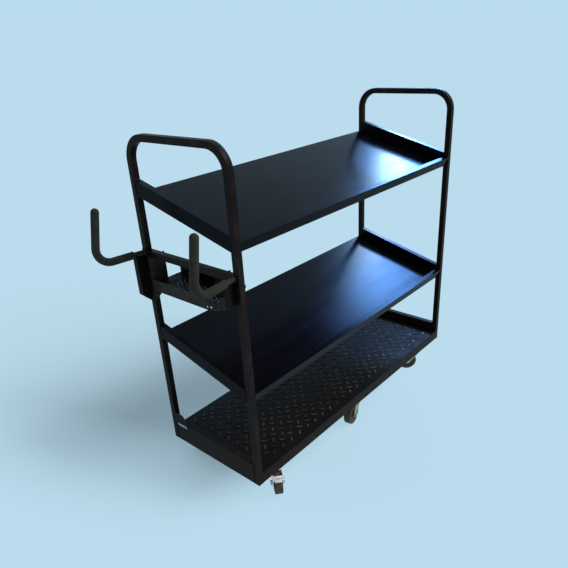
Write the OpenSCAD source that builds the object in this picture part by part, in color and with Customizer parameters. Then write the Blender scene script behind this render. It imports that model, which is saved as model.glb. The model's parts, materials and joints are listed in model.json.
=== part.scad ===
// Picking trolley: two arched end frames, two sloping shelves, a chequered deck,
// six swivel castors, and a perforated tray with a pair of hanging hooks at one end.
// Sizes are in millimetres. The long side with the shelf lips faces -Y and the hooks face -X.

/* [Frame] */

// Length over the two end frames
trolley_len = 1200; // [900:10:1600]
// Width over the end frame posts
trolley_w = 420; // [360:5:600]
// Height of the handle tops above the underside of the base
frame_h = 1068; // [1040:2:1300]
// Side of the square frame tube
tube_w = 20; // [18:1:25]
// Wall of the square frame tube
tube_t = 1.5; // [1:0.1:2.5]
// Outside radius of the handle corners
handle_r = 78; // [45:1:90]

/* [Base] */

// Height from the underside of the base to the top of the deck
deck_h = 42; // [36:1:60]
// Thickness of the deck plate
deck_t = 3; // [2:0.5:5]
// Height of the folded panels at the two ends
panel_h = 78; // [64:1:110]
// Width of every folded strip over its outer and inner faces
fold_w = 21.5; // [21.5:0.5:30]
// Thickness of the folded sheet
sheet_t = 1.5; // [1:0.1:2]
// Thickness of the base rails and cross members
rail_t = 2.5; // [2:0.1:3]
// Width of the flanges on the long base rails
rail_flange = 26; // [24:1:30]
// Width of the cross members that carry the castors
member_w = 110; // [106:1:130]
// Distance between repeats of the raised studs
stud_pitch = 44; // [36:1:60]
// Length of one raised stud
stud_len = 27; // [18:1:30]
// Width of one raised stud
stud_w = 8; // [5:0.5:12]
// Height of the raised studs
stud_h = 1.5; // [0.8:0.1:2]
// Height of the small corner gusset above the end panel
gusset_h = 36; // [20:1:60]
// Length of the small corner gusset along the end panel
gusset_len = 80; // [50:1:110]

/* [Shelves] */

// Slope of the two upper shelves in degrees
shelf_tilt = 15; // [5:0.5:18]
// Height of the middle shelf at its back edge, above the underside of the base
middle_h = 422; // [380:1:480]
// Height of the top shelf at its back edge, above the underside of the base
top_h = 896; // [840:1:920]
// Height of the folded ends of the shelves
end_fold_h = 45; // [30:1:60]
// Height of the front lip of the shelves
lip_h = 30; // [15:1:45]
// Width of the folded strip on top of the front lip
lip_w = 19; // [15:0.5:28]
// Depth of the flange turned down at the back of the shelves
back_flange = 18; // [12:1:30]

/* [Tray] */

// Height of the top of the tray rail above the underside of the base
tray_rail_h = 722; // [690:1:740]
// Height of the tray floor above the underside of the base
tray_floor_h = 613; // [600:1:640]
// Size of the tray from the end of the trolley inwards
tray_deep = 116; // [100:1:160]
// Distance from the near posts to the rounded end of the tray
tray_gap = 80; // [60:1:120]
// Height of the tray band above the tray floor
tray_rim = 14; // [8:1:24]
// Depth of the tray band below the tray floor
tray_skirt = 24; // [12:1:30]
// Height of the inner wall of the tray above its floor
tray_back_h = 44; // [20:1:60]
// Outside radius of the rounded tray corners
tray_r = 44; // [30:1:50]
// Thickness of the tray sheet
tray_t = 2; // [1.5:0.1:3]
// Diameter of the holes in the tray
hole_d = 7; // [4:0.5:9]
// Distance between the holes in the tray
hole_pitch = 14.5; // [13:0.5:20]
// Width of the plates that carry the tray
plate_w = 62; // [50:1:80]
// Depth of the tray side plate below the tray floor at the post
plate_drop = 62; // [40:1:90]

/* [Hooks] */

// How far the hooks reach beyond the end of the trolley
hook_reach = 165; // [140:1:220]
// Height of the hook arms above the underside of the base
hook_h = 717; // [700:1:730]
// Diameter of the steel rod inside the hooks
rod_d = 16; // [12:0.5:20]
// Wall of the soft sleeve over the hooks
sleeve_t = 4; // [2:0.5:5]
// Bend radius of the hooks, to the middle of the rod
hook_r = 45; // [35:1:60]
// Straight length above the bend of the hooks
hook_up = 103; // [60:1:160]
// How far the hooks lean back towards the trolley, in degrees
hook_lean = 11; // [0:1:20]
// How far each hook turns away from the middle of the trolley, in degrees
hook_splay = 8; // [0:1:15]
// How far the hook brackets stand out from the posts
bracket_reach = 40; // [36:1:50]
// Thickness of the hook brackets
bracket_t = 2; // [1.5:0.5:3]
// Depth of the far hook bracket below its hook at its outer edge
bracket_deep = 131; // [100:1:150]
// Further drop of the far bracket web towards the post
bracket_drop = 38; // [20:1:50]
// Depth of the near hook bracket below its hook at its outer edge
near_deep = 72; // [60:1:100]
// Further drop of the near bracket web towards the post
near_drop = 8; // [0:1:20]

/* [Castors] */

// Diameter of the wheels
wheel_d = 80; // [70:1:100]
// Width of the tyres
wheel_w = 28; // [24:1:34]
// Depth of the tyre on the wheel
tyre_t = 9; // [6:0.5:12]
// Height from the top of the tyre to the underside of the base
head_h = 28; // [26:1:36]
// Distance from the swivel pin to the axle
trail = 34; // [28:1:40]
// Distance from each end of the trolley to its outer castors
castor_dx = 125; // [80:5:220]
// Distance from the trolley's long sides to the castors
castor_dy = 45; // [45:1:80]
// Length of the castor top plates
plate_len = 105; // [100:1:106]
// Width of the castor top plates
plate_wide = 80; // [76:1:86]
// Distance between the plate holes along the trolley
hole_dx = 80; // [76:1:82]
// Distance between the plate holes across the trolley
hole_dy = 60; // [54:1:62]
// Diameter of the castor bolts
bolt_d = 8; // [6:0.5:8]
// Diameter of the wheel axles
axle_d = 10; // [8:0.5:12]
// Diameter of the swivel pins
king_d = 10; // [8:0.5:12]
// Thickness of the fork legs
leg_t = 2.5; // [2:0.1:3]
// Turn of the two left castors away from the trolley's length, in degrees
left_turn = 50; // [-90:5:90]
// Turn of the two middle castors, in degrees
middle_turn = 10; // [-90:5:90]
// Turn of the two right castors, in degrees
right_turn = -47; // [-90:1:90]
// Length of the brake pedals
pedal_len = 40; // [30:1:46]
// Width of the brake pedals
pedal_w = 40; // [36:1:46]
// Rise of the brake pedals from their pivot, in degrees
pedal_rise = 28; // [10:1:32]

/* [Hidden] */

$fn = 48;
// radial clearance of a shaft that turns in its hole
run_gap = 0.05;
// clearance between flat faces that pass one another
side_gap = 0.3;
// radial clearance of the bolts in their holes
bolt_gap = 0.5;
// overlap used where two shapes of one piece join
join = 0.5;

half_l = trolley_len / 2;
half_w = trolley_w / 2;
post_in_x = half_l - tube_w;
post_in_y = half_w - tube_w;
// the row of castors lifts the base by this much
base_z = wheel_d + head_h;
// the overall box is centred on the origin along X
shift_x = hook_reach / 2;

// folded shelves, measured along their slope
lip_low = lip_h * sin(shelf_tilt);
slope_len = (trolley_w - lip_low) / cos(shelf_tilt);
end_fold_n = end_fold_h * cos(shelf_tilt);

// tray
tray_x0 = -half_l;
tray_x1 = -half_l + tray_deep;
tray_y0 = -post_in_y + tray_gap;
plate_t = 3;
tray_y1 = post_in_y - plate_t;
// the tray rail stays above the inner wall of the tray
rail_low = max(tray_rail_h - tube_w, tray_floor_h + tray_back_h + tray_t);

// hooks
rod_r = rod_d / 2;
sleeve_r = rod_r + sleeve_t;
bracket_w = rod_d + 2 * bracket_t;
hook_y = half_w - bracket_w / 2;
// both to a hundredth, so that the lengths of a hook meet exactly
arm_len = round(100 * ((hook_reach - bracket_reach - sleeve_r) / cos(hook_splay) - hook_r)) / 100;
rod_root = floor(100 * (bracket_reach - bracket_t - rod_r * sin(hook_splay)) / cos(hook_splay)) / 100;
sleeve_root = ceil(100 * sleeve_r * sin(hook_splay) + 20) / 100;
bracket_low = hook_h - bracket_deep;
bracket_toe = bracket_low - bracket_drop;
near_low = hook_h - near_deep;
near_toe = near_low - near_drop;
// heights of the bracket bolts in the far post and in the near one
top_bolt_z = hook_h - 1.875 * rod_d;
far_bolts = [bracket_toe + 1.2 * bracket_drop, top_bolt_z];
near_bolts = [near_toe + 1.25 * rod_d, top_bolt_z];

// castors
wheel_r = wheel_d / 2;
gap_in = wheel_w / 2 + 2;
leg_out = gap_in + leg_t;
crown_gap = 4;
crown_t = 3;
crown_z = wheel_d + crown_gap;
crown_top = crown_z + crown_t;
crown_back = trail * 0.88;
top_plate_t = 3;
plate_low = base_z - top_plate_t;
bolt_r = bolt_d / 2;
nut_r = bolt_d * 0.92;
nut_h = bolt_d * 0.8;
head_t = bolt_d * 0.66;
hub_r = axle_d / 2 + 6;
core_r = wheel_r - tyre_t;
foot_r = 12;
ear_r = 6.5;
// brake pivot and shoe, as angles and distances round the axle
pivot_r = 3;
tube_r = 5.2;
pivot_far = wheel_r + 6.6;
pivot_at = 121;
shoe_r = 3;
shoe_far = wheel_r + shoe_r + 3.4;
shoe_at = 138;
pivot = [-trail + pivot_far * cos(pivot_at), wheel_r + pivot_far * sin(pivot_at)];
shoe = [-trail + shoe_far * cos(shoe_at), wheel_r + shoe_far * sin(shoe_at)];

// place of each castor: x, y, turn, brake
castor_x = half_l - castor_dx;
castor_y = half_w - castor_dy;
near_left = [-castor_x, -castor_y, left_turn, true];
near_middle = [0, -castor_y, middle_turn, false];
near_right = [castor_x, -castor_y, right_turn, false];
far_left = [-castor_x, castor_y, -left_turn, true];
far_middle = [0, castor_y, -middle_turn, false];
far_right = [castor_x, castor_y, -right_turn, false];
castors = [near_left, near_middle, near_right, far_left, far_middle, far_right];

// Puts a piece drawn from the underside of the base into the common frame.
module on_base() {
  translate([shift_x, 0, base_z]) children();
}

// Puts a piece drawn round a swivel pin, from the floor up, at its castor.
module at_castor(c) {
  translate([shift_x + c[0], c[1], 0]) rotate([0, 0, c[2]]) children();
}

// Draws an outline of Y and Z between two places along X.
module along_x(x0, x1) {
  translate([x0, 0, 0]) rotate([90, 0, 90]) linear_extrude(height = x1 - x0) children();
}

// Draws an outline of X and Z between two places along Y.
module along_y(y0, y1) {
  translate([0, y1, 0]) rotate([90, 0, 0]) linear_extrude(height = y1 - y0) children();
}

// Draws a folded sheet of thickness t whose middle follows the points.
module folded(pts, t) {
  for (i = [0 : len(pts) - 2]) {
    run = pts[i + 1] - pts[i];
    translate(pts[i]) rotate(atan2(run[1], run[0])) translate([0, -t / 2]) square([norm(run), t]);
  }
  for (i = [1 : len(pts) - 2]) translate(pts[i]) circle(t / 2);
}

// Draws a rectangle with rounded corners, centred on the origin.
module rounded(l, w, r) {
  square([l - 2 * r, w], center = true);
  square([l, w - 2 * r], center = true);
  for (x = [-1, 1], y = [-1, 1]) translate([x * (l / 2 - r), y * (w / 2 - r)]) circle(r);
}

// Arch of one end frame in Y and Z, drawn inwards by some distance and downwards by another.
module arch(inset, below) {
  r = handle_r - inset;
  half = half_w - inset;
  top = frame_h - inset;
  translate([-half, -below]) square([2 * half, top - r + below]);
  translate([r - half, 0]) square([2 * (half - r), top]);
  for (s = [-1, 1]) translate([s * (half - r), top - r]) circle(r, $fn = 96);
}

module end_frame(x0, bolted) {
  color([0.16, 0.14, 0.13]) on_base() difference() {
    along_x(x0, x0 + tube_w) difference() {
      arch(0, 0);
      arch(tube_w, 1);
    }
    along_x(x0 + tube_t, x0 + tube_w - tube_t) difference() {
      arch(tube_t, 1);
      arch(tube_w - tube_t, 2);
    }
    if (bolted) for (s = [-1, 1], z = post_bolts(s)) {
      translate([x0 - 1, s * hook_y, z]) rotate([0, 90, 0]) cylinder(h = tube_w + 2, r = bolt_r + run_gap);
    }
  }
}

// Place in Y and Z of a point on a shelf: a along the slope, b square to it.
function on_slope(h, a, b) = [
  half_w + a * cos(shelf_tilt) - b * sin(shelf_tilt),
  h + a * sin(shelf_tilt) + b * cos(shelf_tilt)
];

// One folded end of a shelf, drawn up the slope and trimmed between the posts.
module end_fold(h, s) {
  t = sheet_t;
  x_out = s * (half_l - t / 2);
  x_in = s * (half_l - fold_w + t / 2);
  intersection() {
    translate([0, half_w, h]) rotate([shelf_tilt, 0, 0]) translate([0, -slope_len, 0])
      translate([0, slope_len + end_fold_h, 0]) rotate([90, 0, 0])
        linear_extrude(height = slope_len + 2 * end_fold_h)
          folded([[x_out, 0], [x_out, end_fold_n - t / 2], [x_in, end_fold_n - t / 2], [x_in, -t / 2]], t);
    translate([-half_l - 1, -post_in_y, 0]) cube([trolley_len + 2, 2 * post_in_y, frame_h]);
  }
}

module shelf(h) {
  t = sheet_t;
  lip_out = -slope_len + t / 2;
  lip_in = -slope_len + lip_w - t / 2;
  color([0.09, 0.09, 0.1]) on_base() {
    difference() {
      along_x(-post_in_x, post_in_x) folded([
        [half_w - t / 2, h - back_flange],
        [half_w - t / 2, h - t],
        on_slope(h, lip_in, -t / 2),
        on_slope(h, lip_in, lip_h - t / 2),
        on_slope(h, lip_out, lip_h - t / 2),
        on_slope(h, lip_out, 0)
      ], t);
      // the back corners stop at the end folds
      for (s = [-1, 1]) translate([s * half_l - fold_w, post_in_y, 0]) cube([2 * fold_w, 2 * tube_w, frame_h]);
    }
    for (s = [-1, 1]) end_fold(h, s);
  }
}

// One raised stud of the deck: the lens where two circles overlap.
module stud() {
  r = (stud_len * stud_len + stud_w * stud_w) / (4 * stud_w);
  intersection() {
    translate([0, r - stud_w / 2]) circle(r, $fn = 96);
    translate([0, stud_w / 2 - r]) circle(r, $fn = 96);
  }
}

module deck() {
  nx = floor((post_in_x - fold_w - stud_len / 2) / stud_pitch);
  ny = floor((half_w - 4 - stud_len / 2) / stud_pitch);
  mx = floor((post_in_x - fold_w - stud_len / 2) / stud_pitch - 0.5);
  my = floor((half_w - 4 - stud_len / 2) / stud_pitch - 0.5);
  color([0.15, 0.14, 0.14]) on_base() {
    translate([0, 0, deck_h - deck_t]) linear_extrude(height = deck_t) {
      square([2 * post_in_x, trolley_w], center = true);
      square([trolley_len - 2 * sheet_t, 2 * post_in_y], center = true);
    }
    translate([0, 0, deck_h - join]) linear_extrude(height = stud_h + join) {
      for (i = [-nx : nx], j = [-ny : ny]) translate([i, j] * stud_pitch) rotate(45) stud();
      for (i = [-mx - 1 : mx], j = [-my - 1 : my]) {
        translate([i + 0.5, j + 0.5] * stud_pitch) rotate(-45) stud();
      }
    }
  }
}

module side_rail(s) {
  t = rail_t;
  y_out = s * (half_w - t / 2);
  y_in = s * (half_w - rail_flange);
  top = deck_h - deck_t;
  color([0.2, 0.17, 0.15]) on_base() difference() {
    along_x(-post_in_x, post_in_x) folded([
      [y_in, top - t / 2], [y_out, top - t / 2], [y_out, t / 2], [y_in, t / 2]
    ], t);
    for (x = [-castor_x, 0, castor_x], d = [-1, 1]) {
      translate([x + d * hole_dx / 2, s * (castor_y + hole_dy / 2), -1])
        cylinder(h = t + 2, r = bolt_r + bolt_gap);
    }
  }
}

module end_panel(s) {
  t = sheet_t;
  x_out = s * (half_l - t / 2);
  x_in = s * (half_l - fold_w + t / 2);
  color([0.2, 0.17, 0.15]) on_base() along_y(-post_in_y, post_in_y) {
    folded([[x_in, t / 2], [x_out, t / 2], [x_out, panel_h - t / 2], [x_in, panel_h - t / 2], [x_in, deck_h]], t);
  }
}

module cross_member(x) {
  t = rail_t;
  half = half_w - rail_flange;
  top = deck_h - deck_t;
  side = member_w / 2 - t / 2;
  color([0.17, 0.15, 0.14]) on_base() difference() {
    along_y(-half, half) translate([x, 0]) folded([[-side, top], [-side, t / 2], [side, t / 2], [side, top]], t);
    for (d = [-1, 1], e = [-1, 1]) {
      translate([x + d * hole_dx / 2, e * (castor_y - hole_dy / 2), -1])
        cylinder(h = t + 2, r = bolt_r + bolt_gap);
    }
  }
}

module post_gusset() {
  color([0.2, 0.17, 0.15]) on_base() along_x(-half_l, -half_l + plate_t) polygon([
    [post_in_y, panel_h],
    [post_in_y, panel_h + gusset_h],
    [post_in_y - gusset_len * 0.44, panel_h + gusset_h],
    [post_in_y - gusset_len, panel_h]
  ]);
}

module tray_rail() {
  color([0.16, 0.14, 0.13]) on_base() along_y(-post_in_y, post_in_y) {
    translate([-half_l, rail_low]) difference() {
      square(tube_w);
      translate([tube_t, tube_t]) square(tube_w - 2 * tube_t);
    }
  }
}

module tray_side_plate() {
  low = tray_floor_h - tray_skirt;
  color([0.2, 0.19, 0.18]) on_base() along_y(tray_y1, post_in_y) polygon([
    [-half_l, tray_floor_h - plate_drop],
    [-half_l, rail_low],
    [-half_l + plate_w, rail_low],
    [-half_l + plate_w, low]
  ]);
}

module tray_hanger() {
  low = tray_floor_h - tray_skirt + 4;
  color([0.13, 0.12, 0.12]) on_base() along_y(tray_y0 - plate_t, tray_y0) polygon([
    [-half_l, rail_low],
    [-half_l, tray_floor_h + tray_rim + 16],
    [-half_l + tray_r, tray_floor_h + tray_rim + 1],
    [-half_l + tray_r, low],
    [-half_l + plate_w, low],
    [-half_l + plate_w, rail_low]
  ]);
}

// Plan of the tray: square at its left end, rounded at its right end.
module tray_plan(inset) {
  r = tray_r - inset;
  x0 = tray_x0 + inset;
  x1 = tray_x1 - inset;
  y0 = tray_y0 + inset;
  translate([x0, y0 + r]) square([x1 - x0, tray_y1 - y0 - r]);
  translate([x0 + r, y0]) square([x1 - x0 - 2 * r, tray_y1 - y0]);
  for (x = [x0 + r, x1 - r]) translate([x, y0 + r]) circle(r);
}

// Staggered holes of one flat sheet, inside the box from lo to hi.
module hole_field(lo, hi) {
  rows = floor((hi[1] - lo[1]) / (hole_pitch * 0.866));
  cols = floor((hi[0] - lo[0]) / hole_pitch);
  for (j = [0 : rows], i = [0 : cols - (j % 2)]) {
    translate(lo + [(i + (j % 2) / 2) * hole_pitch, j * hole_pitch * 0.866]) circle(hole_d / 2);
  }
}

module tray_floor() {
  edge = tray_t + hole_d / 2 + 4;
  color([0.14, 0.13, 0.13]) on_base() translate([0, 0, tray_floor_h - tray_t]) {
    linear_extrude(height = tray_t) difference() {
      tray_plan(tray_t);
      hole_field([tray_x0 + edge, tray_y0 + tray_r * 0.45], [tray_x1 - edge, tray_y1 - edge]);
    }
  }
}

module tray_band() {
  low = tray_floor_h - tray_skirt;
  tall = tray_skirt + tray_rim;
  color([0.2, 0.18, 0.17]) on_base() difference() {
    translate([0, 0, low]) linear_extrude(height = tall) difference() {
      tray_plan(0);
      tray_plan(tray_t);
      translate([tray_x0 + tray_t, tray_y0 + tray_r]) square([tray_deep, trolley_w]);
    }
    for (a = [0 : 18 : 90], k = [0 : 1]) {
      translate([tray_x0 + tray_r, tray_y0 + tray_r, low + 10 + k * 17])
        rotate([0, 90, 180 + a]) cylinder(h = tray_r + 5, r = hole_d / 2);
    }
  }
}

module tray_back() {
  edge = hole_d / 2 + 4;
  y0 = tray_y0 + tray_r;
  color([0.14, 0.13, 0.13]) on_base() {
    translate([tray_x1 - tray_t, 0, tray_floor_h]) rotate([90, 0, 90]) linear_extrude(height = tray_t) {
      difference() {
        translate([y0, -tray_skirt]) square([tray_y1 - y0, tray_back_h + tray_skirt]);
        hole_field([y0 + edge, edge], [tray_y1 - edge, tray_back_h - edge + 4]);
      }
    }
  }
}

// Heights of the bracket bolts on one side.
function post_bolts(s) = s > 0 ? far_bolts : near_bolts;

module hook_bracket(s, low, toe) {
  t = bracket_t;
  y = s * hook_y;
  x_in = -half_l - t / 2;
  x_out = -half_l - bracket_reach + t / 2;
  deep = bracket_w / 2;
  top = hook_h + rod_r;
  web = hook_h - rod_r - 1;
  color([0.13, 0.12, 0.11]) on_base() difference() {
    intersection() {
      translate([0, y, toe]) linear_extrude(height = top - toe) {
        folded([[x_in, -deep], [x_in, deep - t / 2], [x_out, deep - t / 2], [x_out, -deep]], t);
      }
      along_y(y - tube_w, y + tube_w) polygon([
        [-half_l, toe],
        [-half_l, top],
        [-half_l - t, top],
        [-half_l - t, web],
        [-half_l - bracket_reach + t, web],
        [-half_l - bracket_reach + t, hook_h],
        [-half_l - bracket_reach, hook_h],
        [-half_l - bracket_reach, low]
      ]);
    }
    hook_place(s) rotate([0, 90, 0]) translate([0, 0, -2 * t - 2]) cylinder(h = 3 * t + 4, r = rod_r);
    for (z = post_bolts(s)) {
      translate([-half_l - t - 1, y, z]) rotate([0, 90, 0]) cylinder(h = t + 2, r = bolt_r + run_gap);
    }
  }
}

// Draws the bent hook in its own plane: x outwards, y upwards, from the root of its arm.
module hook_bend(ro, ri, root) {
  rotate([0, 90, 0]) translate([0, 0, -root]) linear_extrude(height = arm_len + root) ring(ro, ri);
  translate([arm_len, hook_r, 0]) {
    rotate([0, 0, -90]) rotate_extrude(angle = 90 + hook_lean) translate([hook_r, 0]) ring(ro, ri);
    rotate([0, 0, hook_lean]) translate([hook_r, 0, 0]) rotate([-90, 0, 0]) {
      linear_extrude(height = hook_up) ring(ro, ri);
      translate([0, 0, hook_up]) rotate_extrude() intersection() {
        ring(ro, ri);
        square(ro + 1);
      }
    }
  }
}

// Draws a disc, or a ring where the inner radius is not zero.
module ring(ro, ri) {
  difference() {
    circle(ro);
    if (ri > 0) circle(ri);
  }
}

// Turns a hook outwards and puts its root at the bracket on one side.
module hook_place(s) {
  translate([-half_l - bracket_reach, s * hook_y, hook_h]) mirror([0, s < 0 ? 1 : 0, 0])
    rotate([0, 0, -hook_splay]) rotate([90, 0, 180]) children();
}

module hook_rod(s) {
  color([0.4, 0.4, 0.4]) on_base() hook_place(s) hook_bend(rod_r - 0.1, 0, rod_root);
}

module hook_sleeve(s) {
  color([0.24, 0.235, 0.2]) on_base() hook_place(s) hook_bend(sleeve_r, rod_r, -sleeve_root);
}

// Draws a bolt along +Z: the head ends at zero and the nut starts at the grip.
module bolt(grip) {
  translate([0, 0, -head_t]) cylinder(h = head_t, r = nut_r, $fn = 6);
  translate([0, 0, -join]) cylinder(h = grip + nut_h + 2 + join, r = bolt_r);
  translate([0, 0, grip]) cylinder(h = nut_h, r = nut_r, $fn = 6);
}

module bracket_bolts() {
  color([0.5, 0.5, 0.5]) on_base() for (s = [-1, 1], z = post_bolts(s)) {
    translate([-half_l - bracket_t, s * hook_y, z]) rotate([0, 90, 0]) bolt(tube_w + bracket_t);
  }
}

module castor_bolts() {
  color([0.6, 0.6, 0.6]) for (c = castors, d = [-1, 1], e = [-1, 1]) {
    translate([shift_x + c[0] + d * hole_dx / 2, c[1] + e * hole_dy / 2, plate_low])
      bolt(top_plate_t + rail_t);
  }
}

module castor_plate(c) {
  color([0.75, 0.75, 0.77]) translate([shift_x + c[0], c[1], 0]) {
    difference() {
      translate([0, 0, plate_low]) linear_extrude(height = top_plate_t) rounded(plate_len, plate_wide, 8);
      for (d = [-1, 1], e = [-1, 1]) translate([d * hole_dx / 2, e * hole_dy / 2, plate_low - 1])
        cylinder(h = top_plate_t + 2, r = bolt_r + bolt_gap);
    }
    rotate_extrude() {
      translate([24.4, plate_low - 7]) square([3, 7 + join]);
      translate([0, crown_top + side_gap]) square([12, plate_low - crown_top]);
      translate([0, crown_z - side_gap - 5]) square([king_d / 2, plate_low - crown_z + 6]);
      translate([0, crown_z - side_gap - 5]) square([9, 5]);
    }
  }
}

// Points of an arc round c, from one angle to another.
function arc(c, r, from, to, n = 12) = [
  for (i = [0 : n]) c + r * [cos(from + (to - from) * i / n), sin(from + (to - from) * i / n)]
];

// Angle at which a straight line from p touches the circle of radius r round c, on side s.
function touch(p, c, r, s) = atan2(p[1] - c[1], p[0] - c[0]) + s * acos(r / norm(p - c));

// Side view of one fork leg, with an ear for the brake pedal where there is one.
module leg_side(braked) {
  a = [-trail, wheel_r];
  front = [20, crown_top];
  back = [-crown_back, crown_top];
  first = touch(front, a, foot_r, -1);
  side = pivot_at + acos((foot_r - ear_r) / pivot_far);
  difference() {
    if (braked) polygon(concat([front], arc(a, foot_r, first, side - 360), arc(pivot, ear_r, side, 90), [back]));
    else polygon(concat([front], arc(a, foot_r, first, touch(back, a, foot_r, 1) - 360), [back]));
    translate(a) circle(axle_d / 2 + run_gap);
    if (braked) translate(pivot) circle(pivot_r + run_gap);
  }
}

module castor_fork(c) {
  hole = king_d / 2 + run_gap;
  color([0.72, 0.7, 0.66]) at_castor(c) {
    rotate_extrude() {
      translate([hole, crown_z]) square([25 - hole, crown_t]);
      translate([19, crown_z]) square([4.8, crown_t + 15]);
    }
    translate([-crown_back, -leg_out, crown_z]) cube([crown_back - 10, 2 * leg_out, crown_t]);
    for (s = [0, 1]) mirror([0, s, 0]) along_y(gap_in, leg_out) leg_side(c[3]);
  }
}

module castor_axle(c) {
  color([0.65, 0.65, 0.68]) at_castor(c) translate([-trail, 0, wheel_r]) rotate([90, 0, 0]) {
    translate([0, 0, -leg_out - 4]) cylinder(h = 2 * leg_out + 8, r = axle_d / 2);
    translate([0, 0, leg_out]) cylinder(h = 5, r = axle_d * 0.85, $fn = 6);
    translate([0, 0, -leg_out - 6]) cylinder(h = 6, r = axle_d * 0.85, $fn = 6);
  }
}

module castor_wheel(c) {
  hub = gap_in - side_gap;
  color([0.3, 0.26, 0.22]) at_castor(c) translate([-trail, 0, wheel_r]) rotate([90, 0, 0]) {
    rotate_extrude($fn = 96) difference() {
      union() {
        translate([0, -hub]) square([hub_r, 2 * hub]);
        translate([0, -4]) square([core_r - 0.1, 8]);
        translate([core_r - 4, 2 - wheel_w / 2]) square([3.9, wheel_w - 4]);
      }
      translate([-1, -hub - 1]) square([axle_d / 2 + run_gap + 1, 2 * hub + 2]);
    }
  }
}

module castor_tyre(c) {
  edge = 3.5;
  color([0.17, 0.13, 0.11]) at_castor(c) translate([-trail, 0, wheel_r]) rotate([90, 0, 0]) {
    rotate_extrude($fn = 96) {
      translate([core_r, -wheel_w / 2]) square([tyre_t - edge, wheel_w]);
      translate([core_r, edge - wheel_w / 2]) square([tyre_t, wheel_w - 2 * edge]);
      for (s = [-1, 1]) translate([wheel_r - edge, s * (wheel_w / 2 - edge)]) circle(edge);
    }
  }
}

module brake_pedal(c) {
  arm = shoe - pivot;
  color([0.85, 0.85, 0.87]) at_castor(c) {
    along_y(-gap_in + side_gap, gap_in - side_gap) {
      translate(pivot) circle(tube_r);
      translate(pivot) rotate(180 - pedal_rise) translate([0, -2.5]) square([14, 3]);
    }
    along_y(-pedal_w / 2, pedal_w / 2) {
      translate(pivot) rotate(180 - pedal_rise) translate([11, -2.5]) square([pedal_len - 11, 3]);
      translate(pivot) rotate(180 - pedal_rise) translate([pedal_len, -1]) circle(1.5);
    }
    along_y(-wheel_w / 2 + 2, wheel_w / 2 - 2) {
      translate(pivot) rotate(atan2(arm[1], arm[0])) translate([0, -2]) square([norm(arm), 4]);
      translate(shoe) circle(shoe_r);
    }
    along_y(-leg_out - side_gap - 2, leg_out + side_gap + 2) translate(pivot) circle(pivot_r);
    for (s = [-1, 1]) along_y(s * (leg_out + side_gap + 1) - 1, s * (leg_out + side_gap + 1) + 1)
      translate(pivot) circle(5);
  }
}

end_frame(-half_l, true);  // end_frame_left
end_frame(post_in_x, false);  // end_frame_right
shelf(top_h);  // top_shelf
shelf(middle_h);  // middle_shelf
deck();
side_rail(-1);  // side_rail_near
side_rail(1);  // side_rail_far
end_panel(-1);  // end_panel_left
end_panel(1);  // end_panel_right
cross_member(-castor_x);  // cross_member_left
cross_member(0);  // cross_member_middle
cross_member(castor_x);  // cross_member_right
post_gusset();
tray_rail();
tray_side_plate();
tray_hanger();
tray_floor();
tray_band();
tray_back();
hook_bracket(1, bracket_low, bracket_toe);  // hook_bracket_left
hook_bracket(-1, near_low, near_toe);  // hook_bracket_right
hook_rod(1);  // hook_rod_left
hook_rod(-1);  // hook_rod_right
hook_sleeve(1);  // hook_sleeve_left
hook_sleeve(-1);  // hook_sleeve_right
bracket_bolts();
castor_bolts();
castor_plate(near_left);  // plate_near_left
castor_plate(near_middle);  // plate_near_middle
castor_plate(near_right);  // plate_near_right
castor_plate(far_left);  // plate_far_left
castor_plate(far_middle);  // plate_far_middle
castor_plate(far_right);  // plate_far_right
castor_fork(near_left);  // fork_near_left
castor_fork(near_middle);  // fork_near_middle
castor_fork(near_right);  // fork_near_right
castor_fork(far_left);  // fork_far_left
castor_fork(far_middle);  // fork_far_middle
castor_fork(far_right);  // fork_far_right
castor_axle(near_left);  // axle_near_left
castor_axle(near_middle);  // axle_near_middle
castor_axle(near_right);  // axle_near_right
castor_axle(far_left);  // axle_far_left
castor_axle(far_middle);  // axle_far_middle
castor_axle(far_right);  // axle_far_right
castor_wheel(near_left);  // wheel_near_left
castor_wheel(near_middle);  // wheel_near_middle
castor_wheel(near_right);  // wheel_near_right
castor_wheel(far_left);  // wheel_far_left
castor_wheel(far_middle);  // wheel_far_middle
castor_wheel(far_right);  // wheel_far_right
castor_tyre(near_left);  // tyre_near_left
castor_tyre(near_middle);  // tyre_near_middle
castor_tyre(near_right);  // tyre_near_right
castor_tyre(far_left);  // tyre_far_left
castor_tyre(far_middle);  // tyre_far_middle
castor_tyre(far_right);  // tyre_far_right
brake_pedal(near_left);  // pedal_near_left
brake_pedal(far_left);  // pedal_far_left
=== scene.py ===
# %% [markdown]
# # A picking trolley, dressed over its construction model
#
# The trolley has two arched end frames of square tube, two black shelves that slope down to
# their front lips, a chequered bottom deck on six swivel castors, and at its left end a
# perforated tray with a pair of soft-coated hooks. The construction model already holds every
# rigid piece at its real size, so this script loads it, gives each finish its own material,
# refines the tray's punched sheets, adds the small trim that shows close up, and sets the light
# and the camera. Lengths are in metres.

import json
import math

import bmesh
import bpy
from mathutils import Matrix, Vector


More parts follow.
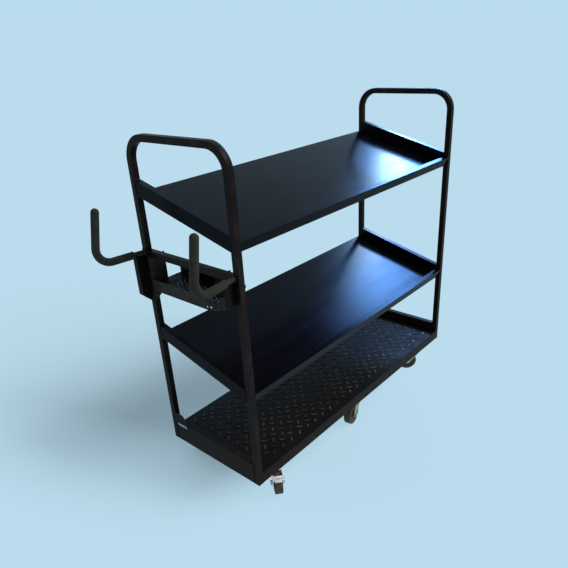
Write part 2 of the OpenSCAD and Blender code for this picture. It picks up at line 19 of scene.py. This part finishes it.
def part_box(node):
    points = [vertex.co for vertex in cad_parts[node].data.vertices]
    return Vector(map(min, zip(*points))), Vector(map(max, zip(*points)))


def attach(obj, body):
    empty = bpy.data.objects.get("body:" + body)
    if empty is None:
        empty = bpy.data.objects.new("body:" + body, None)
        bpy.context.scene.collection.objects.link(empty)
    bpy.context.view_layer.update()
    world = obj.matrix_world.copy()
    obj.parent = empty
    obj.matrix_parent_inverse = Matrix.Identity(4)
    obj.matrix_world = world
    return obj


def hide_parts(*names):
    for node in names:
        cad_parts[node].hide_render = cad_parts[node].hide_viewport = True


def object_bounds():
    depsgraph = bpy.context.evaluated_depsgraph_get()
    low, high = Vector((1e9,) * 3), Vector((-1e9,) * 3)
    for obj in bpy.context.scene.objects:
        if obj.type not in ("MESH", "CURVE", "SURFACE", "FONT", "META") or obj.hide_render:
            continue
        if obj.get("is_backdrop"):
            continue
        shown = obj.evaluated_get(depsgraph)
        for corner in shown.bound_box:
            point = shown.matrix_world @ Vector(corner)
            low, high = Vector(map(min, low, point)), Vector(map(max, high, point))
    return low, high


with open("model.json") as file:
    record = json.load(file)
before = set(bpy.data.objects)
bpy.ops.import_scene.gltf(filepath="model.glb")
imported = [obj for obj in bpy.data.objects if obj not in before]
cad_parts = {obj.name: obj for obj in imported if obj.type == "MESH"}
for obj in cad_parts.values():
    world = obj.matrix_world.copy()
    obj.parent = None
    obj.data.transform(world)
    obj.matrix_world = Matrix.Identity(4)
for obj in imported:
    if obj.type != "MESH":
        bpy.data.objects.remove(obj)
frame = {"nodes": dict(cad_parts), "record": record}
nodes = frame["nodes"]
cad_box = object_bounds()
scene = bpy.context.scene

# %% [markdown]
# ## The camera
#
# The straight edges of the photograph were fitted with a plain pinhole camera. It stands
# 1.4 m above the floor off the left front corner and looks down along the trolley. The three
# vectors below are the camera's right, down and forward directions. Blender's camera looks
# along its own -Z with +Y up, so the last two change sign when they become the columns of its
# matrix.

# %% Place the camera
right = Vector((0.66249697, -0.74637244, -0.0634503))
down = Vector((-0.37023049, -0.25263069, -0.89392792))
forward = Vector((0.65117367, 0.61571577, -0.4436969))
eye = Vector((-1.44588, -1.20883, 1.39073))

camera_data = bpy.data.cameras.new("photo_camera")
camera_data.sensor_width = 36.0
camera_data.lens = 35.4346
camera_data.shift_x = 0.01606
camera_data.shift_y = 0.0531
camera_data.clip_end = 200.0
camera = bpy.data.objects.new("photo_camera", camera_data)
scene.collection.objects.link(camera)
turn = Matrix((right, -down, -forward)).transposed()
camera.matrix_world = Matrix.Translation(eye) @ turn.to_4x4()
scene.camera = camera
print("camera at", [round(part, 2) for part in eye], "lens", round(camera_data.lens, 1))

# %% [markdown]
# ## Shader maths as plain expressions
#
# A material is a graph of nodes, but long chains of Math nodes are hard to read when each one
# is made by hand. The class below wraps one socket of a graph. Its operators add the Math
# node that does the sum, so `1 - mask * 0.4` reads the way it would on paper.


# %% A socket that can be added, multiplied and compared
class Value:
    def __init__(self, graph, socket):
        self.graph = graph
        self.socket = socket

    def _math(self, kind, a, b):
        return self.graph.node("ShaderNodeMath", {"operation": kind}, {0: a, 1: b})

    def __add__(self, other):
        return self._math("ADD", self, other)

    def __radd__(self, other):
        return self._math("ADD", other, self)

    def __sub__(self, other):
        return self._math("SUBTRACT", self, other)

    def __rsub__(self, other):
        return self._math("SUBTRACT", other, self)

    def __mul__(self, other):
        return self._math("MULTIPLY", self, other)

    def __rmul__(self, other):
        return self._math("MULTIPLY", other, self)

    def __gt__(self, other):
        return self._math("GREATER_THAN", self, other)


# %% [markdown]
# Everything that isn't plain arithmetic comes from one method, `node`. It takes the node's
# type, its settings, what goes into its sockets, and which of its outputs is wanted. The
# materials and the world are both made with it.


# %% A graph of nodes
class Graph:
    def __init__(self, tree):
        self.tree = tree

    def node(self, kind, settings, sockets, output=0):
        made = self.tree.nodes.new(kind)
        for key, value in settings.items():
            if key == "stops":
                for i, (at, shade) in enumerate(value):
                    made.color_ramp.elements[i].position = at
                    made.color_ramp.elements[i].color = shade
            else:
                setattr(made, key, value)
        for key, value in sockets.items():
            self.fill(made.inputs[key], value)
        return Value(self, made.outputs[output])

    def fill(self, socket, value):
        if isinstance(value, Value):
            self.tree.links.new(value.socket, socket)
        else:
            socket.default_value = value


# %% [markdown]
# A finish is the graph of one material. It starts with the shader that nearly every finish
# here needs, the Principled BSDF. `axis` gives one of the piece's own object coordinates,
# `noise` a value that wanders between 0 and 1 over them, `ramp` turns the span from `low` to
# `high` into a mask from 0 to 1, and `blend` mixes two colours.


# %% A material's graph
class Finish(Graph):
    def __init__(self, name):
        self.material = bpy.data.materials.new(name)
        self.material.use_nodes = True
        super().__init__(self.material.node_tree)
        self.shader = self.tree.nodes["Principled BSDF"]
        self.place = self.node("ShaderNodeTexCoord", {}, {}, "Object")

    def axis(self, letter):
        return self.node("ShaderNodeSeparateXYZ", {}, {0: self.place}, letter)

    def noise(self, scale, detail=3.0, stretch=(1, 1, 1)):
        where = self.node("ShaderNodeMapping", {}, {"Vector": self.place, "Scale": stretch})
        sockets = {"Vector": where, "Scale": scale, "Detail": detail}
        return self.node("ShaderNodeTexNoise", {}, sockets, "Fac")

    def ramp(self, value, low, high):
        stops = [(low, (0, 0, 0, 1)), (high, (1, 1, 1, 1))]
        return self.node("ShaderNodeValToRGB", {"stops": stops}, {"Fac": value})

    def blend(self, mask, first, second):
        settings = {"data_type": "RGBA"}
        return self.node("ShaderNodeMix", settings, {"Factor": mask, 6: first, 7: second}, 2)

    def feed(self, name, value):
        self.fill(self.shader.inputs[name], value)

    def bump(self, height, strength, distance):
        sockets = {"Height": height, "Strength": strength, "Distance": distance}
        self.feed("Normal", self.node("ShaderNodeBump", {}, sockets))


def colour(red, green, blue):
    """A colour given as it looks on screen, from 0 to 255, as the shader's linear values."""

    def linear(c):
        c = c / 255
        return c / 12.92 if c <= 0.04045 else ((c + 0.055) / 1.055) ** 2.4

    return (linear(red), linear(green), linear(blue), 1.0)


# %% [markdown]
# ## The frame's paint
#
# The tubes, rails and end panels wear a semi-gloss black that has faded to a warm brown-black.
# Powder paint is never quite smooth, so a fine bump gives it orange peel, and slow patches of
# handling marks change both its colour and its gloss a little.

# %% Frame paint
frame_black = Finish("frame_paint")
patches = frame_black.ramp(frame_black.noise(9.0, detail=4.0), low=0.35, high=0.7)
marks = frame_black.noise(60.0, detail=6.0, stretch=(1, 1, 0.25))
marks = frame_black.ramp(marks, low=0.55, high=0.8)
body = frame_black.blend(patches, colour(23, 14, 11), colour(30, 20, 16))
frame_black.feed("Base Color", frame_black.blend(marks * 0.35, body, colour(66, 60, 55)))
frame_black.feed("Specular IOR Level", 0.055)
frame_black.feed("Roughness", 0.34 + patches * 0.14 + marks * 0.12)
frame_black.bump(frame_black.noise(900.0, detail=2.0), strength=0.12, distance=0.0004)
print("finish", frame_black.material.name)

# %% [markdown]
# ## The shelves' paint
#
# The two upper shelves are wiped often, so they are the glossiest surface on the trolley and
# mirror the window as a long soft glare. Their colour is close to pure black. Streaks of dust
# and faint rubbing marks run along the shelf, which is why the noise is stretched along X.

# %% Shelf paint
shelf_black = Finish("shelf_paint")
streaks = shelf_black.noise(22.0, detail=5.0, stretch=(0.2, 1, 1))
streaks = shelf_black.ramp(streaks, low=0.45, high=0.75)
dust = shelf_black.ramp(shelf_black.noise(320.0, detail=4.0), low=0.62, high=0.78)
wiped = shelf_black.blend(streaks, colour(8, 7, 13), colour(13, 11, 19))
shelf_black.feed("Base Color", shelf_black.blend(dust * 0.25, wiped, colour(44, 45, 50)))
shelf_black.feed("Specular IOR Level", 0.044)
shelf_black.feed("Roughness", 0.21 + streaks * 0.04 + dust * 0.06)
shelf_black.bump(shelf_black.noise(700.0, detail=2.0), strength=0.06, distance=0.0003)
print("finish", shelf_black.material.name)

# %% [markdown]
# ## The chequered deck
#
# The raised studs of the deck take all the wear: their crowns are rubbed to a brighter grey and
# carry a painted highlight besides, while the plate between them stays black and collects dirt.
# The studs stand 1.5 mm above the plate, so no picture of the pattern is needed: a mask on the
# height above the plate picks out the crowns, and noise breaks it up. The painted highlight grows
# towards the near edge: `near_lip` reaches 1 at 200 mm in front of the deck's middle line.

# %% Deck paint
plate_top = 0.150
crown_from = plate_top + 0.0008
deck_black = Finish("deck_paint")
crown = deck_black.axis("Z") > crown_from
near_lip = deck_black.ramp(0.5 - deck_black.axis("Y") * 2.0, low=0.45, high=0.9)
rubbed = crown * deck_black.ramp(deck_black.noise(45.0, detail=4.0), low=0.35, high=0.62)
dirt = deck_black.ramp(deck_black.noise(14.0, detail=5.0), low=0.4, high=0.7)
dirty = deck_black.blend(dirt, colour(14, 10, 11), colour(19, 15, 16))
# painted highlight on the stud crowns, stronger towards the near edge, on top of their wear
painted_highlight = deck_black.ramp(deck_black.noise(7.0, detail=2.0), low=0.35, high=0.75)
painted_highlight = painted_highlight * (0.3 + near_lip * 0.7)
wear_and_painted_highlight = deck_black.blend(painted_highlight, colour(34, 31, 29), colour(112, 108, 104))
deck_black.feed("Base Color", deck_black.blend(rubbed, dirty, wear_and_painted_highlight))
deck_black.feed("Specular IOR Level", 0.06)
deck_black.feed("Metallic", rubbed * 0.5)
deck_black.feed("Roughness", 0.42 + dirt * 0.16 - rubbed * 0.1)
deck_black.bump(deck_black.noise(500.0, detail=3.0), strength=0.15, distance=0.0004)
print("finish", deck_black.material.name, "worn above", crown_from)

# %% [markdown]
# ## The tray, the brackets and the soft hooks
#
# The brackets share the frame's black but see more scuffs, and the bolts in them are painted
# over. The tray's outer band and its side plate wear a lighter grey copy of the paint, which is
# painted light. Its floor, back and hanger lie in shade, and a darker copy paints that shade into
# their colour. The three could be one material with three masks, but three small ones are easier
# to read. One function makes them: a mask of noise blends a clean colour with a marked one, and
# where it is marked the paint is rougher.


# %% Three paints of the tray
def tray_coat(name, noise, span, share, clean, marked, specular, rough):
    coat = Finish(name)
    mask = coat.ramp(coat.noise(noise[0], detail=noise[1]), low=span[0], high=span[1])
    coat.feed("Base Color", coat.blend(mask * share, colour(*clean), colour(*marked)))
    coat.feed("Specular IOR Level", specular)
    coat.feed("Roughness", rough[0] + mask * rough[1])
    coat.bump(coat.noise(800.0, detail=2.0), strength=0.12, distance=0.0004)
    print("finish", name)
    return coat.material


tray_scuffed = tray_coat(
    "tray_paint", noise=(80.0, 6.0), span=(0.5, 0.75), share=0.4,
    clean=(20, 16, 15), marked=(46, 42, 39), specular=0.04, rough=(0.4, 0.15),
)
# painted shade: a darker copy of the tray paint for the floor, back and hanger, which lie in
# shade
tray_painted_shade = tray_coat(
    "tray_paint_painted_shade", noise=(40.0, 5.0), span=(0.4, 0.75), share=1.0,
    clean=(5, 4, 7), marked=(12, 11, 14), specular=0.03, rough=(0.45, 0.15),
)
# painted light: a lighter grey copy of the tray paint for the outer band and the side plate
tray_painted_light = tray_coat(
    "tray_paint_painted_light", noise=(30.0, 5.0), span=(0.3, 0.7), share=1.0,
    clean=(40, 37, 35), marked=(56, 52, 49), specular=0.05, rough=(0.48, 0.2),
)

# %% [markdown]
# The hooks carry a matt olive-grey sleeve that protects what hangs on them: soft plastic, no
# gloss, finely pitted and slightly mottled where hands and bags have rubbed it. The rods are
# dipped in the same coat as far as their brackets.

# %% Hook sleeve
hook_coat = Finish("hook_coat")
mottle = hook_coat.ramp(hook_coat.noise(35.0, detail=5.0), low=0.3, high=0.75)
hook_coat.feed("Base Color", hook_coat.blend(mottle, colour(38, 36, 31), colour(52, 50, 43)))
hook_coat.feed("Specular IOR Level", 0.1)
hook_coat.feed("Roughness", 0.68 + mottle * 0.14)
hook_coat.bump(hook_coat.noise(1400.0, detail=3.0), strength=0.3, distance=0.0004)
print("finish", hook_coat.material.name)

# %% [markdown]
# ## Plated steel
#
# The castors are pressed from thin steel. The near left one and both brake pedals are bright
# plated, and the others have a yellowish zinc finish whose tint drifts over the surface. The
# castors' bolts and axles are plain plated steel. A full mirror would show little but the dark
# underside of the trolley, so the zinc and above all the bright plating are only partly
# metallic here, and the rest of their light is plain colour; on the bright plating this
# near-white colour is a painted highlight. Small changes of roughness keep them from looking
# like polished glass.


# %% Zinc, bright plating and bolt steel
def plated(name, first, second, rough, metallic=1.0):
    metal = Finish(name)
    drift = metal.ramp(metal.noise(55.0, detail=4.0), low=0.3, high=0.7)
    grain = metal.noise(600.0, detail=3.0)
    metal.feed("Base Color", metal.blend(drift, first, second))
    metal.feed("Metallic", metallic)
    metal.feed("Roughness", rough + drift * 0.1 + grain * 0.08)
    metal.bump(grain, strength=0.1, distance=0.0002)
    print("finish", name)
    return metal.material


zinc = plated("zinc_plate", colour(150, 128, 96), colour(176, 158, 130), 0.32, metallic=0.8)
# painted highlight: a near-white colour with little metal stands in for the plating's glint
bright = plated("chrome_plate", colour(252, 249, 246), colour(240, 237, 234), 0.16, metallic=0.3)
steel = plated("bright_steel", colour(186, 186, 190), colour(150, 150, 154), 0.28)

# %% [markdown]
# ## Wheels
#
# The tyres are dark brown solid rubber round a moulded body, and have no tread pattern to
# model. Rubber scatters light, so it stays rough, and dust lies on it as pale specks.

# %% Wheel body and tyre
wheel_core = Finish("wheel_core")
moulded = wheel_core.noise(70.0, detail=3.0)
moulded = wheel_core.blend(moulded, colour(70, 58, 48), colour(92, 78, 66))
wheel_core.feed("Base Color", moulded)
wheel_core.feed("Roughness", 0.5 + wheel_core.noise(160.0, detail=3.0) * 0.15)
wheel_core.bump(wheel_core.noise(900.0, detail=2.0), strength=0.1, distance=0.0003)

rubber = Finish("tyre_rubber")
specks = rubber.ramp(rubber.noise(240.0, detail=6.0), low=0.52, high=0.75)
rubber.feed("Base Color", rubber.blend(specks * 0.5, colour(56, 44, 32), colour(116, 99, 78)))
rubber.feed("Roughness", 0.72 + specks * 0.15)
rubber.bump(rubber.noise(700.0, detail=4.0), strength=0.3, distance=0.0005)
print("finishes", wheel_core.material.name, rubber.material.name)

# %% [markdown]
# ## Handing out the finishes
#
# The construction model names a slot for each node, such as frame_paint. A table gives each
# slot its material, and a second one names the few nodes that differ from the rest of their slot:
# on the real trolley the rods are coated and the bolts painted over, and three tray pieces carry
# painted shade or painted light.

# %% Give each node the finish of its slot, and some their own
finishes = {
    "frame_paint": frame_black.material,
    "shelf_paint": shelf_black.material,
    "deck_paint": deck_black.material,
    "tray_paint": tray_scuffed,
    "hook_coat": hook_coat.material,
    "zinc_plate": zinc,
    "chrome_plate": bright,
    "bright_steel": steel,
    "wheel_core": wheel_core.material,
    "tyre_rubber": rubber.material,
}
own_finish = {
    "hook_rod_left": hook_coat.material,
    "hook_rod_right": hook_coat.material,
    "bracket_bolts": tray_scuffed,
    "tray_hanger": tray_painted_shade,
    "tray_side_plate": tray_painted_light,
    "tray_band": tray_painted_light,
}
slot_of = {row["node"]: row["material_slot"] for row in frame["record"]["subparts"]}
for name, piece in nodes.items():
    for place in piece.material_slots:
        place.material = own_finish.get(name, finishes[slot_of[name]])
print("finishes", len(finishes), "on", len(slot_of), "nodes,", len(own_finish), "with their own")

# %% [markdown]
# ## Softer edges
#
# Square tube and folded sheet have no sharp corners. A Bevel node in the shader could fake
# round ones, but real ones also show in the outline. The construction model's pieces arrive as
# loose triangles, so a modifier first joins them and a second one dissolves the flat faces.
# Then a small bevel on every sharp edge gives the thin lines of light that run down the posts.

# %% Bevel the folded and drawn pieces, by widths in millimetres
join_distance = 0.00002
soft_edges = {
    "end_frame_left": 2.0, "end_frame_right": 2.0, "tray_rail": 2.0,
    "end_panel_left": 0.9, "end_panel_right": 0.9, "side_rail_near": 0.9, "side_rail_far": 0.9,
    "post_gusset": 0.8, "tray_hanger": 0.6, "tray_side_plate": 0.8,
    "hook_bracket_left": 0.5, "hook_bracket_right": 0.5,
    "pedal_near_left": 0.6, "pedal_far_left": 0.6,
}
for name, width in soft_edges.items():
    piece = nodes[name]
    weld = piece.modifiers.new("weld", "WELD")
    weld.merge_threshold = join_distance
    flat = piece.modifiers.new("flat", "DECIMATE")
    flat.decimate_type = "DISSOLVE"
    flat.angle_limit = math.radians(1.0)
    bevel = piece.modifiers.new("bevel", "BEVEL")
    bevel.width = width / 1000
    bevel.segments = 2
    bevel.limit_method = "ANGLE"
    bevel.angle_limit = math.radians(40)
print("soft edges on", len(soft_edges), "pieces")

# %% [markdown]
# ## New pieces
#
# The pieces that follow are built as a bmesh, right where they belong on the trolley, and then
# turned into a mesh. Their objects could be moved into place, but like the construction model's
# nodes they stay at the origin, so that patterns on object coordinates fit all of them.


# %% A piece made from a bmesh
def made_piece(name, mesh, material):
    data = bpy.data.meshes.new(name)
    mesh.to_mesh(data)
    mesh.free()
    data.materials.append(material)
    piece = bpy.data.objects.new(name, data)
    scene.collection.objects.link(piece)
    return piece


# %% [markdown]
# ## The tray's punched holes
#
# The sheet of the tray is punched. The photograph shows the holes as small separate dots of
# daylight, finer than those of the construction model, and the upright sheet at the back looks
# plain. A transparent pattern could draw such holes, but they would have no walls. So the three
# sheets are copied and the walls of their holes are found: a hole's wall is a ring of faces
# that meet at shallow angles, and it is small all round.


# %% Find the walls of small holes
widest_hole = 0.0085
fewest_faces = 9
shallow = math.radians(42)
no_angle = 4.0  # radians, more than any real angle, for an edge with a single face


def hole_walls(mesh):
    """Yield each hole's faces, its vertices and its middle."""
    done = set()
    for first in mesh.faces:
        if first in done:
            continue
        group = [first]
        done.add(first)
        for face in group:
            for edge in face.edges:
                for other in edge.link_faces:
                    if other not in done and edge.calc_face_angle(no_angle) < shallow:
                        group.append(other)
                        done.add(other)
        verts = list({vert for face in group for vert in face.verts})
        low = Vector(min(vert.co[k] for vert in verts) for k in range(3))
        high = Vector(max(vert.co[k] for vert in verts) for k in range(3))
        if max(high - low) < widest_hole and len(group) >= fewest_faces:
            yield group, verts, (low + high) / 2


# %% [markdown]
# Each ring is then scaled about its middle to the share that is wanted. An axis can be kept, so
# that a hole through a level sheet keeps its depth. With a share of zero the ring is taken out
# and its two rims are filled, which leaves a plain sheet. The copy replaces its node.


# %% Narrow or close the holes of the tray
def punched(node, name, share, material, keep_axis=None):
    mesh = bmesh.new()
    mesh.from_mesh(nodes[node].data)
    bmesh.ops.remove_doubles(mesh, verts=mesh.verts, dist=join_distance)
    factors = Vector((share, share, share))
    if keep_axis is not None:
        factors[keep_axis] = 1.0
    walls = list(hole_walls(mesh))
    for group, verts, middle in walls:
        if share > 0:
            bmesh.ops.scale(mesh, verts=verts, vec=factors, space=Matrix.Translation(-middle))
        else:
            bmesh.ops.delete(mesh, geom=group, context="FACES")
    rims = [edge for edge in mesh.edges if edge.is_boundary]
    if rims:
        bmesh.ops.holes_fill(mesh, edges=rims, sides=0)
        bmesh.ops.triangulate(mesh, faces=mesh.faces)
    piece = made_piece(name, mesh, material)
    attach(piece, "trolley")
    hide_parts(node)
    print(name, "holes", len(walls))


punched("tray_floor", "tray_floor_sheet", 0.8, tray_painted_shade, keep_axis=2)
punched("tray_back", "tray_back_sheet", 0.0, tray_painted_shade)
punched("tray_band", "tray_band_sheet", 0.8, tray_painted_light)

# %% [markdown]
# ## Welds
#
# The construction model lets the tubes and sheets meet face to face. On the real trolley each
# of these seams carries a short weld. A plain thin rod would fill the corner too, but it looks
# drawn. This bead is a row of rings along the seam: each ring is pushed on from the last one,
# and every second ring is a little wider, which leaves the ripples of the molten pool. The
# first and the last ring are small, so the bead tapers.


# %% One weld bead
def bead(mesh, start, end, radius):
    start = Vector(start)
    along = Vector(end) - start
    pitch = radius * 0.55
    steps = max(6, int(along.length / pitch))
    place = Matrix.Translation(start) @ along.to_track_quat("Z", "Y").to_matrix().to_4x4()
    wide = radius * 0.5
    made = bmesh.ops.create_circle(mesh, cap_ends=True, segments=10, radius=wide, matrix=place)
    ring = made["verts"]
    faces = [face for face in mesh.faces if all(vert in ring for vert in face.verts)]
    for step in range(1, steps + 1):
        grown = bmesh.ops.extrude_face_region(mesh, geom=faces)["geom"]
        if step > 1:
            bmesh.ops.delete(mesh, geom=faces, context="FACES_ONLY")
        faces = [item for item in grown if isinstance(item, bmesh.types.BMFace)]
        verts = [item for item in grown if isinstance(item, bmesh.types.BMVert)]
        bmesh.ops.translate(mesh, verts=verts, vec=along / steps)
        ripple = 1.0 if step % 2 else 0.86
        goal = radius * (ripple if step < steps else 0.55)
        middle = Matrix.Translation(-(start + along * step / steps))
        bmesh.ops.scale(mesh, verts=verts, vec=Vector.Fill(3, goal / wide), space=middle)
        wide = goal


# %% A piece made of several beads
def welds(name, seams, radius=0.0024):
    mesh = bmesh.new()
    for start, end in seams:
        bead(mesh, start, end, radius)
    bmesh.ops.recalc_face_normals(mesh, faces=mesh.faces)
    for face in mesh.faces:
        face.smooth = True
    piece = made_piece(name, mesh, frame_black.material)
    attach(piece, "trolley")
    print(name, "seams", len(seams))


# %% [markdown]
# The boxes of the two end frames give the ends of the trolley and the inner faces of its
# posts. The box of a sloping shelf doesn't say where its sheet meets a post, so the heights of
# the two back edges above the base are given here, and the shelves slope down from them by 15
# degrees. Each meeting gets an upright bead at the post's outer face and a level one along the
# top of the shelf's folded end.

# %% Weld the two shelves to the posts
frame_low, frame_high = (Vector(corner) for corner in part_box("end_frame_left"))
ends = ((frame_low.x, 1), (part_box("end_frame_right")[1][0], -1))
tube = frame_high.x - frame_low.x
post = frame_high.y - tube
base = frame_low.z
slope = math.tan(math.radians(15))
shelf_backs = {"middle_shelf": 0.422, "top_shelf": 0.896}
outer_span = (0.003, 0.042)
inner_span = (0.001, 0.018)
fold_top = 0.0452
for shelf, rise in shelf_backs.items():
    seams = []
    for end, inward in ends:
        for y in (-post, post):
            foot = base + rise - (frame_high.y - y) * slope
            seams.append([(end, y, foot + z) for z in outer_span])
            seams.append([(end + inward * x, y, foot + fold_top) for x in inner_span])
    welds("welds_" + shelf, seams)

# %% [markdown]
# The tray rail is a tube between the left end's posts. Its beads stop a little before the
# tube's rounded corners, and run up its outer face and across its top.

# %% Weld the tray rail
corner_gap = 0.002
rail_low, rail_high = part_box("tray_rail")
outer_face = rail_low[0]
heights = (rail_low[2] + corner_gap, rail_high[2] - corner_gap)
depths = (rail_low[0] + corner_gap, rail_high[0] - corner_gap)
seams = []
for y in (-post, post):
    seams.append([(outer_face, y, z) for z in heights])
    seams.append([(x, y, rail_high[2]) for x in depths])
welds("welds_tray_rail", seams)

# %% [markdown]
# The folded end panels close the base between the posts. They are welded the same way: up
# the outer face, clear of the lower fold and of the top, and then along the top.

# %% Weld the end panels
panel_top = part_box("end_panel_left")[1][2]
heights = (base + 0.006, panel_top - 0.004)
depths = (0.002, 0.019)
seams = []
for end, inward in ends:
    for y in (-post, post):
        seams.append([(end, y, z) for z in heights])
        seams.append([(end + inward * x, y, panel_top) for x in depths])
welds("welds_end_panels", seams)

# %% [markdown]
# ## A bare plate
#
# The photograph shows a small bright plate on the left end panel, below the gusset. It carries
# nothing: a strip with rounded corners and two domed rivets. A grid of one face is stood
# upright, its corners are bevelled round, and it is extruded by the plate's thickness.


# %% The plate and its rivets
def bare_plate(name, middle, length, width):
    thick = 0.0008
    corner = width * 0.3
    rivet = 0.0017
    mesh = bmesh.new()
    upright = Matrix.Translation(middle) @ Matrix.Rotation(math.radians(90), 4, "Y")
    upright = upright @ Matrix.Diagonal((width / 2, length / 2, 1, 1))
    bmesh.ops.create_grid(mesh, x_segments=1, y_segments=1, size=1.0, matrix=upright)
    bmesh.ops.bevel(
        mesh, geom=mesh.verts[:], offset=corner, segments=4, profile=0.5,
        affect="VERTICES", material=-1,
    )
    grown = bmesh.ops.extrude_face_region(mesh, geom=mesh.faces[:])["geom"]
    front = [item for item in grown if isinstance(item, bmesh.types.BMVert)]
    bmesh.ops.translate(mesh, verts=front, vec=(-thick, 0, 0))
    for side in (-1, 1):
        at = Vector((middle[0] - thick, middle[1] + side * (length / 2 - width * 0.5), middle[2]))
        made = bmesh.ops.create_uvsphere(mesh, u_segments=16, v_segments=8, radius=rivet)
        bmesh.ops.scale(mesh, verts=made["verts"], vec=(0.6, 1, 1))
        bmesh.ops.translate(mesh, verts=made["verts"], vec=at)
    bmesh.ops.recalc_face_normals(mesh, faces=mesh.faces)
    piece = made_piece(name, mesh, steel)
    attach(piece, "trolley")


bare_plate("panel_plate", (frame_low.x, 0.157, panel_top - 0.0085), length=0.048, width=0.0085)

# %% [markdown]
# ## Floor
#
# The photograph shows the trolley on a plain pale blue ground with one soft shadow. A floor
# that is matt all over would be lighter in one place than in another, so this wide sheet shows
# its colour mostly by itself. Only near the trolley does it turn into a matt surface, which
# takes the real shadow. Four masks say where: an oval behind and to the left of the trolley,
# less of it in front of the trolley and far to the left, where the photograph's shadow is
# faint, and the most of it at the back.

# %% The floor's sheet and its finish
blue = colour(187, 220, 237)
sheet = bmesh.new()
bmesh.ops.create_grid(sheet, x_segments=1, y_segments=1, size=60.0)
ground = Finish("pale_floor")
ground.feed("Base Color", blue)
ground.feed("Roughness", 0.9)
ground.feed("Specular IOR Level", 0.0)
floor = made_piece("floor", sheet, ground.material)
floor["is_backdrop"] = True

along = ground.axis("X")
across = ground.axis("Y")
oval = {"Vector": ground.place, "Location": (0.3, -0.45, 0), "Scale": (1, 0.55, 1)}
oval = ground.node("ShaderNodeMapping", {}, oval)
away = ground.node("ShaderNodeVectorMath", {"operation": "LENGTH"}, {0: oval}, "Value")
front = ground.ramp(across + 0.5, low=0.36, high=0.54)
back = ground.ramp(across, low=0.35, high=0.75)
left = ground.ramp(along + across * 0.38 + 1.0, low=0.1, high=0.74)
near = (1 - ground.ramp(away, low=0.5, high=1.0)) * (0.25 + front * 0.75) * left
near = near * (0.8 + back * 0.2)
glow = ground.node("ShaderNodeEmission", {}, {"Color": blue, "Strength": 1.0})
matt = Value(ground, ground.shader.outputs[0])
mixed = ground.node("ShaderNodeMixShader", {}, {0: near, 1: glow, 2: matt})
ground.fill(ground.tree.nodes["Material Output"].inputs["Surface"], mixed)
print("floor finish", ground.material.name)

# %% [markdown]
# ## Backdrop
#
# The world gives the camera and everything glossy or clear the floor's blue. It lights matt
# surfaces with a soft grey-white, which is less than half as strong.

# %% The world
world = bpy.data.worlds.new("soft_room")
world.use_nodes = True
scene.world = world
room = Graph(world.node_tree)
soft = room.tree.nodes["Background"]
soft.inputs["Color"].default_value = (0.97, 0.98, 1.0, 1.0)
soft.inputs["Strength"].default_value = 0.46
backdrop = room.node("ShaderNodeBackground", {}, {"Color": blue})
shown = room.node("ShaderNodeLightPath", {}, {}, "Is Camera Ray")
for kind in ("Is Glossy Ray", "Is Transmission Ray"):
    other = room.node("ShaderNodeLightPath", {}, {}, kind)
    shown = room.node("ShaderNodeMath", {"operation": "MAXIMUM"}, {0: shown, 1: other})
sockets = {0: shown, 1: Value(room, soft.outputs[0]), 2: backdrop}
mixed = room.node("ShaderNodeMixShader", {}, sockets)
room.fill(room.tree.nodes["World Output"].inputs["Surface"], mixed)
print("world", world.name)

# %% [markdown]
# ## Light
#
# Four lamps light the trolley. A small window, the blue halo round it and a patch of blue sky
# stand beyond the right end, where their reflections fall on the right half of the two glossy
# shelves: each was placed on the ray from the camera that the shelf's slope throws back. They
# would also spill blue light on the floor, so light linking leaves the floor out of what they
# light. The main light comes from the right of the camera like a large softbox far away, so it
# is even over the floor, lights the faces of the posts that the camera sees and throws one soft
# shadow to the left.


# %% Lamps
def lamp(name, kind, at, aim, power, tint):
    data = bpy.data.lights.new(name, kind)
    data.energy = power
    data.color = tint
    made = bpy.data.objects.new(name, data)
    scene.collection.objects.link(made)
    towards = (Vector(aim) - Vector(at)).to_track_quat("-Z", "Y")
    made.matrix_world = Matrix.Translation(at) @ towards.to_matrix().to_4x4()
    made.visible_camera = False
    return made


top_glare = (0.517, -0.013, 0.944)
middle_glare = (0.40, -0.07, 0.453)
window = lamp("window", "AREA", (3.10, 0.96, 2.21), top_glare, 7.5, (0.72, 1.0, 0.9))
halo = lamp("window_halo", "AREA", (3.10, 0.94, 2.17), top_glare, 14.5, (0.12, 0.37, 1.0))
patch = lamp("sky_patch", "AREA", (2.70, 0.52, 2.15), middle_glare, 66.0, (0.13, 0.37, 1.0))
main = lamp("main", "SUN", (2.6, -2.9, 3.9), (0.0, 0.0, 0.0), 2.35, (1.0, 0.97, 0.93))
main.data.angle = math.radians(34)

# %% Shape the three window lamps and keep them off the floor
off_floor = bpy.data.collections.new("not_lit_by_the_windows")
off_floor.objects.link(floor)
off_floor.collection_objects[0].light_linking.link_state = "EXCLUDE"
for light, wide in ((window, 0.26), (halo, 0.58), (patch, 0.54)):
    light.data.shape = "RECTANGLE"
    light.data.size = wide
    light.data.size_y = wide
    light.light_linking.receiver_collection = off_floor
print("lamps", [item.name for item in bpy.data.lights])

# %% Sizes and the end
scene.view_settings.view_transform = "Standard"
visual_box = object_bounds()
as_lists = [[list(map(float, corner)) for corner in box] for box in (cad_box, visual_box)]
print("size", as_lists)
